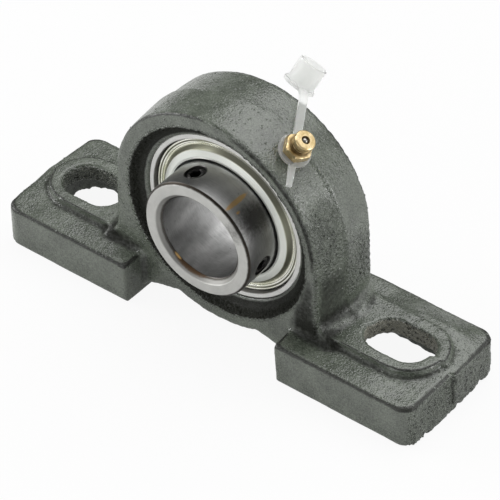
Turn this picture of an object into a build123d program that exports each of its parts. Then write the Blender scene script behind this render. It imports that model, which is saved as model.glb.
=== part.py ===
from build123d import *
import os
from math import cos, radians, sin, sqrt, tan

# Two-bolt cast pillow block with a self-aligning, set-screw ball bearing insert.
# Millimetres. The origin is the centre of the ball row on the shaft axis. The shaft runs along Y with the
# set screws on the -Y side, X runs along the base from foot to foot, and +Z is up.

# Shaft and bearing insert
bore_d = 25.0
inner_wall = 5.1            # bore to the outside of the inner ring
inner_front = 19.8          # ball row to the set-screw end of the inner ring
inner_rear = 14.3           # ball row to the plain end of the inner ring
inner_corner = 0.7          # chamfer on the outer corners of the inner ring
bore_chamfer = 1.5
ball_d = 7.938
ball_count = 9
inner_shoulder = 1.9        # outside of the inner ring to the pitch circle
outer_shoulder = 2.4        # pitch circle to the outer ring's lands
groove_relief = 0.127       # raceway groove radius over the ball's
raceway_clearance = 0.01    # between ball and raceway bottom
seal_seat_step = 2.1        # land to the seal seat beside it
outer_wall = 2.6            # seal seat to the spherical outside
outer_corner = 0.1
grease_hole_d = 1.4         # through the outer ring
grease_hole_y = -4.2

# Ribbon cage
cage_sheet = 0.7
pocket_clearance = 0.06
cage_inner_gap = 0.55       # cage to the inner ring
cage_outer_gap = 0.6        # cage to the outer ring's lands
rivet_d = 1.4
rivet_head_d = 2.5
rivet_head_height = 0.5

# Seals, both sides of the balls
backing_sheet = 0.3
rubber_thickness = 0.45
shield_sheet = 0.5
seal_end_gap = 0.221        # cage to the backing plate
seal_fit = 0.02             # seal pieces to their seat in the outer ring
lip_clearance = 0.06        # seal lip to the inner ring
lip_width = 0.55            # rubber left showing inside the shield
lip_shield_gap = 0.05
backing_gap = 1.0           # backing plate to the inner ring
dome_height = 2.15          # shield's dome above its valley
dome_lead = 0.85            # bore of the shield to the top of the dome
dome_lead_drop = 0.35
dome_width = 1.2            # top of the dome to its shoulder
dome_shoulder_drop = 0.25
dome_proud = 0.35           # dome past the end of the outer ring
shield_curl = 1.3           # curled edge above the valley
shield_curl_run = 1.1       # valley to the curled edge
shield_dome_r = 0.8
shield_valley_r = 0.45
shield_bend_r = 0.27
shield_rim_gap = 0.4        # open groove between the shield's rim and the outer ring

# Set screws
set_screw_d = 6.0
set_screw_length = 4.5
set_screw_inset = 6.3       # end of the inner ring to the screws
set_screw_angle = -16.0     # of the first screw, from +Z towards +X
set_screw_spacing = 120.0
set_screw_fit = 0.03
set_screw_retreat = 0.1     # tip behind the surface of the bore
socket_across_flats = 3.0
socket_depth = 2.2
cup_d = 3.4
screw_chamfer = 0.5

# Housing
shaft_height = 36.5
foot_end_wall = 7.5         # slot to the end of the foot
base_width = 39.0
base_corner_r = 5.0
foot_height = 13.3
foot_inner_x = 25.0
foot_draft = 1.5
foot_shell = 3.4            # roof over the hollow under each foot
hollow_side_wall = 5.1
hollow_end_wall = 3.0
hollow_inner_wall = 5.0
hollow_corner_r = 8.0
hollow_roof_r = 1.5
hollow_draft = 3.0
pad_rise = 2.2
pad_wall = 3.7              # slot to the side of the pad
pad_draft = 6.0
bolt_spacing = 105.0
slot_length = 20.0
slot_width = 13.0
slot_rim_r = 0.6
head_wall = 7.9             # spherical seat to the outside of the head
ring_width = 23.5
ring_draft = 4.4
flank_flare = 2.0
arch_rise = 6.0
arch_r = 70.0
shoulder_r = 4.0            # flanks into the pads
shoulder_sink = 0.05        # end of that curve below the pad's face
recess_reach = 2.7          # recess beyond the seat at the housing's face
recess_step_reach = 1.4     # and where its steep wall ends
recess_step = 2.2           # depth of that wall
seat_lead = 0.3             # seat past the end of the outer ring
seat_clearance = 0.03
load_slot_clearance = 0.3   # beside the insert when it is turned in
foot_edge_r = 1.2
face_edge_r = 1.0
root_r = 1.5                # cast fillets where the walls meet

# Grease nipple and its dust cap
nipple_angle = 34.0         # from +Z towards +X
nipple_y = -2.6
spot_face_depth = 0.2       # below the crown of the head
spot_face_d = 10.6
nipple_thread_d = 6.0
nipple_thread_length = 5.0
tap_runout = 0.5            # tapped hole past the end of the shank
nipple_thread_fit = 0.02
hex_across_flats = 7.0
hex_height = 2.4
hex_chamfer = 0.4
neck_d = 4.8
neck_height = 0.9
head_d = 5.8
head_height = 2.7
head_chamfer = 0.35
grease_mouth_d = 1.8
grease_mouth_depth = 0.5
check_ball_d = 2.0
check_ball_fit = 0.04
spring_wire_d = 0.25
spring_turns = 6
spring_fit = 0.1            # wire to the chamber's wall and to the ball
grease_outlet_d = 1.2
outlet_lip = 0.5
grease_duct_d = 3.0
grease_groove_width = 4.4
grease_groove_y = -3.8
grease_groove_depth = 1.0
cap_ring_d = 9.4
cap_sheet = 0.95
cap_ring_fit = 0.05         # round the shank and on either face
cap_strap_angle = 33.5      # strap direction about the nipple, from +Y towards the crown
strap_width = 2.3
strap_straight = 15.5       # nipple axis to the start of the droop
strap_droop = 39.0
strap_twist = 9.0           # of the cup, about the strap's run
strap_bend_r = 5.0
strap_lead = 0.5            # from the end of the bend to the flange
strap_root = 0.8            # strap inside the edges of ring and flange
tab_reach = 10.9
tab_root_width = 2.5
tab_tip_width = 1.4
cap_flange_d = 9.3
cap_cup_d = 8.0
cap_cup_height = 6.8
cap_wall = 0.8

# Working allowances
overcut = 1.0               # how far a cut runs past the surface it opens
pick = 0.5                  # how near to its nominal place an edge is picked for a fillet

# Sizes that follow from the ones above
bore_r = bore_d / 2
inner_r = bore_r + inner_wall
ball_r = ball_d / 2
pitch_r = inner_r + inner_shoulder
groove_r = ball_r + groove_relief
land_r = pitch_r + outer_shoulder
seal_seat_r = land_r + seal_seat_step
sphere_r = seal_seat_r + outer_wall
cage_inner_r = inner_r + cage_inner_gap
cage_outer_r = land_r - cage_outer_gap
pocket_r = ball_r + pocket_clearance
pocket_reach = pocket_r + cage_sheet
seal_start = pocket_reach + seal_end_gap
set_screw_y = set_screw_inset - inner_front
half_ring = ring_width / 2
ring_r = sphere_r + head_wall
recess_r = sphere_r + recess_reach
recess_step_r = sphere_r + recess_step_reach
nipple_seat = ring_r - spot_face_depth
base_length = bolt_spacing + slot_length + 2 * foot_end_wall
pad_width = slot_width + 2 * pad_wall
draft_drop = half_ring * tan(radians(ring_draft))
base_z = -shaft_height
foot_top = base_z + foot_height
pad_top = foot_top + pad_rise
slot_x = bolt_spacing / 2
rubber_start = seal_start + backing_sheet
shield_start = rubber_start + rubber_thickness
shield_bore_r = inner_r + lip_width
shield_valley = shield_start + shield_sheet / 2
outer_ring_width = 2 * (shield_valley + dome_height + shield_sheet / 2 - dome_proud)
backing_bore_r = inner_r + backing_gap
hex_bottom = cap_sheet + 2 * cap_ring_fit
neck_bottom = hex_bottom + hex_height
head_bottom = neck_bottom + neck_height
head_top = head_bottom + head_height
chamber_r = check_ball_d / 2 + check_ball_fit
chamber_floor = outlet_lip - nipple_thread_length
ball_seat_z = head_top - grease_mouth_depth
check_ball_z = ball_seat_z - sqrt((check_ball_d / 2) ** 2 - (grease_mouth_d / 2) ** 2) - check_ball_fit
spring_wire_r = spring_wire_d / 2
spring_coil_r = chamber_r - spring_fit - spring_wire_r
spring_touch = sqrt((check_ball_d / 2 + spring_fit + spring_wire_r) ** 2 - spring_coil_r ** 2)
spring_top = check_ball_z - spring_touch


def turned(section):
    """Revolves a half section, drawn as radius along X and shaft position along Y, round the shaft axis."""
    return revolve(section, axis=Axis.Y)


def section(*points):
    """Face of a closed outline of (radius, shaft position) points."""
    return make_face(Polyline(*points, close=True))


def radial_plane(angle, y, reach, x_dir=(0, 1, 0)):
    """Plane square to a radius of the shaft, at reach from the shaft axis."""
    out = Vector(sin(radians(angle)), 0, cos(radians(angle)))
    return Plane(origin=out * reach + Vector(0, y, 0), x_dir=x_dir, z_dir=out)


def round_bar(radius, bottom, top):
    """Cylinder on the local Z axis between two heights."""
    return Pos(0, 0, bottom) * Cylinder(radius, top - bottom, align=(Align.CENTER, Align.CENTER, Align.MIN))


# ---------------------------------------------------------------- bearing insert

def make_outer_ring():
    """Ring with a spherical outside, a ball groove, seal seats and two grease holes."""
    half = outer_ring_width / 2
    blank = section((land_r, -half), (sphere_r, -half), (sphere_r, half), (land_r, half))
    blank = blank & Circle(sphere_r)
    race_centre = pitch_r + ball_r + raceway_clearance - groove_r
    blank -= Pos(race_centre, 0) * Circle(groove_r)
    for side in (-1, 1):
        blank -= section((0, side * seal_start), (seal_seat_r, side * seal_start),
                         (seal_seat_r, side * (half + overcut)), (0, side * (half + overcut)))
    ring = turned(blank)
    ends = ring.edges().filter_by(GeomType.CIRCLE).filter_by(lambda e: abs(abs(e.center().Y) - half) < 1e-3)
    ring = chamfer(ends, outer_corner)
    for turn in (0, 180):
        hole = radial_plane(nipple_angle + turn, grease_hole_y, land_r - overcut)
        ring -= hole * round_bar(grease_hole_d / 2, 0, sphere_r)
    return ring


def set_screw_planes():
    """One plane per set screw, square to its axis, on the bore's surface."""
    return [radial_plane(set_screw_angle + turn, set_screw_y, bore_r) for turn in (0, set_screw_spacing)]


def make_inner_ring():
    """Wide inner ring with its ball groove and the tapped holes for the set screws."""
    blank = section((bore_r, -inner_front), (inner_r, -inner_front),
                    (inner_r, inner_rear), (bore_r, inner_rear))
    corners = blank.vertices().sort_by(Axis.X)
    blank = chamfer(corners[:2], bore_chamfer)
    blank = chamfer(blank.vertices().sort_by(Axis.X)[-2:], inner_corner)
    race_centre = pitch_r - ball_r - raceway_clearance + groove_r
    blank -= Pos(race_centre, 0) * Circle(groove_r)
    ring = turned(blank)
    for plane in set_screw_planes():
        ring -= plane * round_bar(set_screw_d / 2 + set_screw_fit, -bore_r / 2, inner_r)
    return ring


def make_set_screw():
    """Cup-point socket set screw, its tip at the local origin and its socket facing +Z."""
    screw = round_bar(set_screw_d / 2, 0, set_screw_length)
    screw = chamfer(screw.edges().filter_by(GeomType.CIRCLE), screw_chamfer)
    socket = extrude(RegularPolygon(socket_across_flats / 2, 6, major_radius=False), socket_depth)
    screw -= Pos(0, 0, set_screw_length - socket_depth) * socket
    return screw - Cone(cup_d / 2, 0, cup_d / 4, align=(Align.CENTER, Align.CENTER, Align.MIN))


def ball_places():
    """Centre of each ball, the first one straight up."""
    return [Rot(0, 360 * i / ball_count, 0) * Pos(0, 0, pitch_r) for i in range(ball_count)]


def rivet_places():
    """Centre of each web between two balls."""
    return [Rot(0, 360 * (i + 0.5) / ball_count, 0) * Pos(0, 0, pitch_r) for i in range(ball_count)]


def make_cage_half():
    """Rear half of the pressed ribbon cage: flat webs joined by domed ball pockets."""
    flat, band = (section((cage_inner_r, 0), (cage_outer_r, 0), (cage_outer_r, depth), (cage_inner_r, depth))
                  for depth in (cage_sheet, pocket_reach))
    domes = Part() + [place * Sphere(pocket_reach) for place in ball_places()]
    half = turned(flat) + (turned(band) & domes)
    for place in ball_places():
        half -= place * Sphere(pocket_r)
    for place in rivet_places():
        half -= place * Rot(90, 0, 0) * Cylinder(rivet_d / 2, 4 * cage_sheet)
    return half


def make_cage_rivets():
    """One headed rivet through each web, as separate solids."""
    shank = Rot(90, 0, 0) * Cylinder(rivet_d / 2, 2 * cage_sheet)
    head = Rot(-90, 0, 0) * round_bar(rivet_head_d / 2, 0, rivet_head_height)
    head = chamfer(head.edges().sort_by(Axis.Y)[-1], rivet_head_height / 2)
    rivet = shank + Pos(0, cage_sheet, 0) * head + mirror(Pos(0, cage_sheet, 0) * head, about=Plane.XZ)
    return Compound(children=[place * rivet for place in rivet_places()])


def front_pair(piece):
    """A rear seal piece and its mirror image on the set-screw side."""
    return mirror(piece, about=Plane.XZ), piece


def make_backing():
    """Steel plate behind the rubber, seated in the outer ring."""
    return turned(section((backing_bore_r, seal_start), (seal_seat_r - seal_fit, seal_start),
                          (seal_seat_r - seal_fit, rubber_start), (backing_bore_r, rubber_start)))


def make_rubber():
    """Moulded rubber ring whose lip stands on the inner ring and shows inside the shield."""
    lip_r = inner_r + lip_clearance
    lip_back_r = shield_bore_r - lip_shield_gap
    lip_end = shield_valley + dome_height - dome_lead_drop
    lip_corner = (lip_back_r - lip_r) / 3
    rim_r = seal_seat_r - seal_fit
    return turned(section((rim_r, rubber_start), (rim_r, shield_start), (lip_back_r, shield_start),
                          (lip_back_r, lip_end - lip_corner), (lip_back_r - lip_corner, lip_end),
                          (lip_r + lip_corner, lip_end), (lip_r, lip_end - lip_corner),
                          (lip_r, shield_start), (backing_bore_r, rubber_start)))


def make_shield():
    """Pressed steel cover: a dome by its bore, a valley and a curled edge turned down to its seat."""
    crest = shield_valley + dome_height
    rim_r = seal_seat_r - shield_rim_gap - shield_sheet / 2
    crest_r = shield_bore_r + dome_lead
    path = FilletPolyline(
        (shield_bore_r, crest - dome_lead_drop), (crest_r, crest),
        (crest_r + dome_width, crest - dome_shoulder_drop), (rim_r - shield_curl_run, shield_valley),
        (rim_r, shield_valley + shield_curl), (rim_r, shield_valley), (seal_seat_r - seal_fit, shield_valley),
        radius=[shield_dome_r, shield_dome_r, shield_valley_r, shield_bend_r, shield_bend_r])
    return turned(trace(path, shield_sheet))


# ---------------------------------------------------------------- housing

def drafted(face, half_width, draft):
    """A front-view face drawn out both ways from the parting plane, each half drafted."""
    half = extrude(Plane.XZ * face, half_width, taper=draft)
    return half + mirror(half, about=Plane.XZ)


def make_head():
    """Round head on a pedestal whose flanks flare down, run out over the pads and span an arch."""
    flare = radians(flank_flare)
    start = Vector(ring_r * cos(flare), ring_r * sin(flare))
    ledge = pad_top - shoulder_sink
    spread = start.X + (start.Y - ledge) * tan(flare)
    shoulder = spread + shoulder_r + shoulder_sink
    deep = base_z - foot_height
    flanks = make_face(Polyline((-start.X, start.Y), (-spread, ledge), (-shoulder, ledge), (-shoulder, deep),
                                (shoulder, deep), (shoulder, ledge), (spread, ledge), (start.X, start.Y),
                                close=True))
    roots = flanks.vertices().filter_by(lambda v: abs(v.Y - ledge) < 1e-6 and abs(v.X) < shoulder - 1e-6)
    flanks = fillet(roots, shoulder_r)
    flanks -= Pos(0, base_z + arch_rise - arch_r) * Circle(arch_r)
    head = drafted(flanks + Circle(ring_r), half_ring, ring_draft)
    rims = head.edges().filter_by(lambda e: abs(abs(e.center().Y) - half_ring) < 1e-3 and e.center().Z > pad_top)
    return fillet(rims, face_edge_r)


def make_feet():
    """Two feet with drafted tops and ends, rounded corners and softened edges."""
    length = base_length / 2 - foot_inner_x
    side = Pos(foot_inner_x + length / 2, foot_top - foot_height) * Rectangle(length, 2 * foot_height)
    plan = extrude(Pos(0, 0, base_z) * RectangleRounded(base_length, base_width, base_corner_r), 2 * foot_height)
    foot = drafted(side, base_width / 2, foot_draft) & plan
    above = foot.edges().filter_by(lambda e: e.center().Z > foot_top - foot_height / 4)
    rim = above.filter_by(lambda e: e.center().X > foot_inner_x + foot_edge_r and abs(e.center().Y) > foot_edge_r)
    foot = fillet(rim, foot_edge_r)
    return foot + mirror(foot, about=Plane.YZ)


def make_pads():
    """Raised pads round the bolt slots, running in under the pedestal."""
    end_x = slot_x + (slot_length - slot_width) / 2
    start_x = foot_inner_x + pad_width / 2
    plan = SlotCenterPoint(((start_x + end_x) / 2, 0), (end_x, 0), pad_width)
    pad = extrude(Pos(0, 0, pad_top) * plan, -(pad_rise + overcut), taper=-pad_draft)
    return pad + mirror(pad, about=Plane.YZ)


def make_foot_hollows():
    """Cored hollows under the feet, open below, into which the bolt slots lead."""
    near, far = foot_inner_x + hollow_inner_wall, base_length / 2 - hollow_end_wall
    plan = RectangleRounded(far - near, base_width - 2 * hollow_side_wall, hollow_corner_r)
    mouth = Pos((near + far) / 2, 0, base_z) * plan
    hollow = extrude(mouth, foot_height - foot_shell, taper=hollow_draft)
    hollow = fillet(hollow.edges().group_by(Axis.Z)[-1], hollow_roof_r) + extrude(mouth, -overcut)
    return hollow + mirror(hollow, about=Plane.YZ)


def make_blank():
    """The solid casting, cut flat below and with its inner corners filleted."""
    blank = make_head() + make_feet() + make_pads()
    blank = split(blank, bisect_by=Plane.XY.offset(base_z), keep=Keep.TOP)
    at_web = blank.edges().filter_by(lambda e: abs(abs(e.center().Y) - half_ring) < pick)
    uprights = at_web.filter_by(lambda e: e.bounding_box().size.Z > foot_height / 2
                                and abs(abs(e.center().X) - foot_inner_x) < pick)
    treads = at_web.filter_by(lambda e: e.bounding_box().size.X > foot_height / 2
                              and abs(e.center().Z - foot_top) < pick)
    return fillet(uprights + treads, root_r)


def make_seat():
    """Everything inside the head: spherical seat, grease groove, end recesses and loading slots."""
    seat_r = sphere_r + seat_clearance
    step_y = half_ring - recess_step
    lip_y = outer_ring_width / 2 + seat_lead
    lip_r = sqrt(seat_r ** 2 - lip_y ** 2)
    seat = Sphere(seat_r) & Box(3 * seat_r, ring_width, 3 * seat_r)
    groove_r_out = seat_r + grease_groove_depth
    near, far = (grease_groove_y + side * grease_groove_width / 2 for side in (-1, 1))
    seat += turned(section((0, near), (groove_r_out, near), (groove_r_out, far), (0, far)))
    recess = turned(section((0, lip_y), (lip_r, lip_y), (recess_step_r, step_y), (recess_r, half_ring),
                            (recess_r + overcut, half_ring + overcut), (0, half_ring + overcut)))
    load_height = outer_ring_width + 2 * load_slot_clearance
    load = Rot(-90, 0, 0) * round_bar(seat_r, 0, half_ring + overcut)
    load &= Box(3 * seat_r, 3 * half_ring, load_height)
    return seat + recess + mirror(recess, about=Plane.XZ) + load


def nipple_plane():
    """Local frame of the nipple: +Z along its axis, +X along the cap's strap, origin on the spot face."""
    lean, turn = radians(nipple_angle), radians(cap_strap_angle)
    strap = (-sin(turn) * cos(lean), cos(turn), sin(turn) * sin(lean))
    return radial_plane(nipple_angle, nipple_y, nipple_seat, x_dir=strap)


def make_nipple_hole():
    """Spot face, tapped hole and grease duct, in the nipple's frame."""
    thread_r = nipple_thread_d / 2 + nipple_thread_fit
    hole = round_bar(spot_face_d / 2, 0, overcut) + round_bar(thread_r, -nipple_thread_length - tap_runout, 0)
    return hole + round_bar(grease_duct_d / 2, sphere_r - nipple_seat, 0)


def make_housing():
    """The finished casting."""
    housing = make_blank() - make_foot_hollows() - make_seat() - nipple_plane() * make_nipple_hole()
    slot = extrude(Pos(0, 0, base_z) * SlotOverall(slot_length, slot_width), 2 * foot_height)
    housing -= [Pos(side * slot_x, 0, 0) * slot for side in (-1, 1)]
    rims = housing.edges().filter_by(lambda e: abs(e.center().Z - pad_top) < 1e-3
                                     and abs(abs(e.center().X) - slot_x) < slot_length / 2
                                     and abs(e.center().Y) < slot_width / 2 + pick)
    return fillet(rims, slot_rim_r)


# ---------------------------------------------------------------- nipple and cap, in the nipple's frame

def make_nipple_body():
    """Hexagon, neck and head on a threaded shank, with the check ball's chamber inside."""
    body = round_bar(nipple_thread_d / 2, -nipple_thread_length, hex_bottom)
    hexagon = RegularPolygon(hex_across_flats / 2, 6, major_radius=False)
    flats = extrude(Pos(0, 0, hex_bottom) * hexagon, hex_height)
    skirt = round_bar(hex_across_flats / sqrt(3), hex_bottom, neck_bottom)
    body += flats & chamfer(skirt.edges().sort_by(Axis.Z)[-1], hex_chamfer)
    body += round_bar(neck_d / 2, neck_bottom, head_bottom)
    head = round_bar(head_d / 2, head_bottom, head_top)
    body += chamfer(head.edges().filter_by(GeomType.CIRCLE), head_chamfer)
    body -= round_bar(grease_mouth_d / 2, ball_seat_z, head_top + overcut)
    body -= round_bar(chamber_r, chamber_floor, ball_seat_z)
    return body - round_bar(grease_outlet_d / 2, -nipple_thread_length - overcut, chamber_floor)


def make_check_ball():
    """Ball that closes the mouth of the nipple."""
    return Pos(0, 0, check_ball_z) * Sphere(check_ball_d / 2)


def make_spring():
    """Coil spring that holds the check ball against its seat."""
    start = chamber_floor + spring_wire_r
    height = spring_top - start
    coil = Pos(0, 0, start) * Helix(height / spring_turns, height, spring_coil_r)
    return sweep(Plane(coil @ 0, z_dir=coil % 0) * Circle(spring_wire_r), coil)


def make_cap():
    """Dust cap in one moulding: shank ring, pull tab, strap and cup."""
    low, high = cap_ring_fit, cap_ring_fit + cap_sheet
    ring = round_bar(cap_ring_d / 2, low, high)
    tab = make_face(Polyline((0, -tab_root_width / 2), (0, tab_root_width / 2), (-tab_reach, tab_tip_width / 2),
                             (-tab_reach, -tab_tip_width / 2), close=True))
    ring += extrude(Pos(0, 0, low) * tab, cap_sheet)
    ring -= round_bar(nipple_thread_d / 2 + cap_ring_fit, low - overcut, high + overcut)
    mid = low + cap_sheet / 2
    straight = Line((cap_ring_d / 2 - strap_root, 0, mid), (strap_straight, 0, mid))
    bend = Plane.XZ * Pos(strap_straight, mid - strap_bend_r) * CenterArc((0, 0), strap_bend_r, 90, -strap_droop)
    end = bend @ 1
    along = bend % 1
    lead = Line(end, end + along * (strap_lead + strap_root))
    across = Plane(origin=straight @ 0, x_dir=(0, 1, 0), z_dir=(1, 0, 0))
    strap = sweep(across * Rectangle(strap_width, cap_sheet), Wire([straight, bend, lead]),
                  transition=Transition.ROUND)
    centre = end + along * (strap_lead + cap_flange_d / 2)
    square = Plane(origin=centre, x_dir=along, z_dir=Vector(0, 1, 0).cross(along) * -1)
    cup = round_bar(cap_flange_d / 2, -cap_sheet / 2, cap_sheet / 2)
    cup += round_bar(cap_cup_d / 2, 0, cap_cup_height)
    cup -= round_bar(cap_cup_d / 2 - cap_wall, cap_sheet / 2, cap_cup_height + overcut)
    return ring + strap + square * Rot(strap_twist, 0, 0) * cup


def make_all():
    """Every node by name, in place."""
    nodes = {"housing": make_housing(), "outer_ring": make_outer_ring(), "inner_ring": make_inner_ring()}
    for i, place in enumerate(ball_places(), 1):
        nodes[f"ball_{i}"] = place * Sphere(ball_r)
    nodes["cage_front"], nodes["cage_rear"] = front_pair(make_cage_half())
    nodes["cage_rivets"] = make_cage_rivets()
    nodes["front_seal_backing"], nodes["rear_seal_backing"] = front_pair(make_backing())
    nodes["front_seal_rubber"], nodes["rear_seal_rubber"] = front_pair(make_rubber())
    nodes["front_shield"], nodes["rear_shield"] = front_pair(make_shield())
    for i, plane in enumerate(set_screw_planes(), 1):
        nodes[f"set_screw_{i}"] = plane * Pos(0, 0, set_screw_retreat) * make_set_screw()
    frame = nipple_plane()
    nodes["nipple_body"] = frame * make_nipple_body()
    nodes["nipple_ball"] = frame * make_check_ball()
    nodes["nipple_spring"] = frame * make_spring()
    nodes["nipple_cap"] = frame * make_cap()
    return nodes


if __name__ == "__main__":
    os.makedirs("parts", exist_ok=True)
    for name, piece in make_all().items():
        export_step(piece, f"parts/{name}.step")
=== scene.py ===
"""Looks for a cast two-bolt pillow block with a set-screw ball bearing insert, a grease nipple and its dust cap."""

import logging
import math
from collections.abc import Callable, Sequence
from dataclasses import dataclass
from enum import Enum
from typing import Any

import bmesh
import bpy
import numpy as np
from bpy.types import Material, Mesh, Node, NodeSocket, NodeTree, Object
from mathutils import Matrix, Vector, noise


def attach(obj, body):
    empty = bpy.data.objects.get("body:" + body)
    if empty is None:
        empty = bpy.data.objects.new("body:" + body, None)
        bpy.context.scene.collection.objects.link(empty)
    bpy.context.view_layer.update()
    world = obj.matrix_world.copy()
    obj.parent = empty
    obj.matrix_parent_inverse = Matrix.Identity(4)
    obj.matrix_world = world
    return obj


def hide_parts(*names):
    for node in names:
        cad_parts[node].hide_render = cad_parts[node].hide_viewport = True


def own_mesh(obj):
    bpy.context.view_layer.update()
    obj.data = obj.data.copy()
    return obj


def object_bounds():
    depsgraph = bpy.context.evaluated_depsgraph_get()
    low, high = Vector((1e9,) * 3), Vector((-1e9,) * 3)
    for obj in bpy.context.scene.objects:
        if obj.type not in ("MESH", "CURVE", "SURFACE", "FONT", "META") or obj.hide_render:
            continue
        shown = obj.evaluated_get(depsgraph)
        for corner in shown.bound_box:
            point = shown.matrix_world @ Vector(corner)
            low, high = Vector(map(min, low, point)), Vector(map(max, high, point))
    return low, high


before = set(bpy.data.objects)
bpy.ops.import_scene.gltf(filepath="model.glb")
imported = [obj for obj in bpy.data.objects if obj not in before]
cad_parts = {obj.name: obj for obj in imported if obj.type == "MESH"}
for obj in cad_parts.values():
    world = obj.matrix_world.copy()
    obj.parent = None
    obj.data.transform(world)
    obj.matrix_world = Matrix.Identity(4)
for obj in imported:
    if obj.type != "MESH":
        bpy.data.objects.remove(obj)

LOG = logging.getLogger("pillow_block")
CAD_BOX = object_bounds()
MM = 0.001
UNIT = 1000.0  # a noise size, in millimetres, that leaves its vector unscaled
MIDDLE = (0.36, 0.64)  # range in which most values of a noise lie
SENSOR = 36.0
CAD_SEAM = 2e-6
SCREW_ANGLES = (-16.0, 104.0)
SCREW_Y = -13.5

Triple = tuple[float, float, float]
Colour = Triple
Array = np.ndarray


class Side(Enum):
    """Side of the ball row, as the sign of its place along the shaft."""

    FRONT = -1
    REAR = 1


class Lay(Enum):
    """Direction in which grinding marks run on a turned surface."""

    FACE = "rings on a flat end"
    LAND = "rings round a cylinder"


# ---------------------------------------------------------------- node trees


def on_pair(operation: str, swapped: bool = False) -> Callable[["Signal", Any], "Signal"]:
    """Method that adds a Math node for a signal and one more value, in that order or swapped."""
    return lambda self, other: self.maths(operation, *((other, self) if swapped else (self, other)))


class Signal:
    """A shader socket that Python arithmetic can use."""

    def __init__(self, graph: "Graph", socket: NodeSocket) -> None:
        """Keeps the socket and the node tree that it belongs to."""
        self.graph = graph
        self.socket = socket

    def maths(self, operation: str, *operands: Any, clamped: bool = False) -> "Signal":
        """Result of one Math node, whose sockets take the operands (signals or numbers) from the first on."""
        node = self.graph.node("ShaderNodeMath", dict(enumerate(operands)), operation=operation, use_clamp=clamped)
        return Signal(self.graph, node.outputs[0])

    __add__ = __radd__ = on_pair("ADD")
    __sub__ = on_pair("SUBTRACT")
    __rsub__ = on_pair("SUBTRACT", swapped=True)
    __mul__ = __rmul__ = on_pair("MULTIPLY")
    __truediv__ = on_pair("DIVIDE")
    __pow__ = on_pair("POWER")
    most = on_pair("MAXIMUM")

    def between(self, low: float, high: float) -> "Signal":
        """0 below low, 1 above high and even between."""
        return self.maths("ADD", (self - low) / (high - low), 0.0, clamped=True)

    def band(self, rise: tuple[float, float], fall: tuple[float, float]) -> "Signal":
        """1 from the end of the rise to the start of the fall, and 0 outside both."""
        return self.between(*rise) * (1.0 - self.between(*fall))


class Graph:
    """Node tree that grows by one call for each node."""

    def __init__(self, tree: NodeTree) -> None:
        """Takes over a tree and empties it."""
        self.tree = tree
        self.tree.nodes.clear()

    def node(self, kind: str, inputs: dict[Any, Any] | None = None, **settings: Any) -> Node:
        """Adds any node.

        Args:
            kind: The node's type name.
            inputs: What feed() puts into each input, by name or index.
            settings: The node's own properties, set first.

        Returns:
            The new node.
        """
        node = self.tree.nodes.new(kind)
        for name, value in settings.items():
            setattr(node, name, value)
        for name, value in (inputs or {}).items():
            self.feed(node.inputs[name], value)
        return node

    def feed(self, socket: NodeSocket, value: Any) -> None:
        """Links or sets one input.

        Args:
            socket: The input.
            value: A signal or an output socket to link, or a plain value to set.
        """
        if isinstance(value, Signal):
            value = value.socket
        if isinstance(value, NodeSocket):
            self.tree.links.new(value, socket)
        elif isinstance(value, tuple) and len(value) == 3 and socket.type == "RGBA":
            socket.default_value = (*value, 1.0)
        else:
            socket.default_value = value

    def watched(self, unseen: float, seen: float) -> Signal:
        """One level for what the camera sees, straight or through plastic, and another for all other light."""
        eye = self.node("ShaderNodeLightPath").outputs
        return Signal(self, eye["Is Camera Ray"]).most(eye["Is Transmission Ray"]) * (seen - unseen) + unseen


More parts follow.
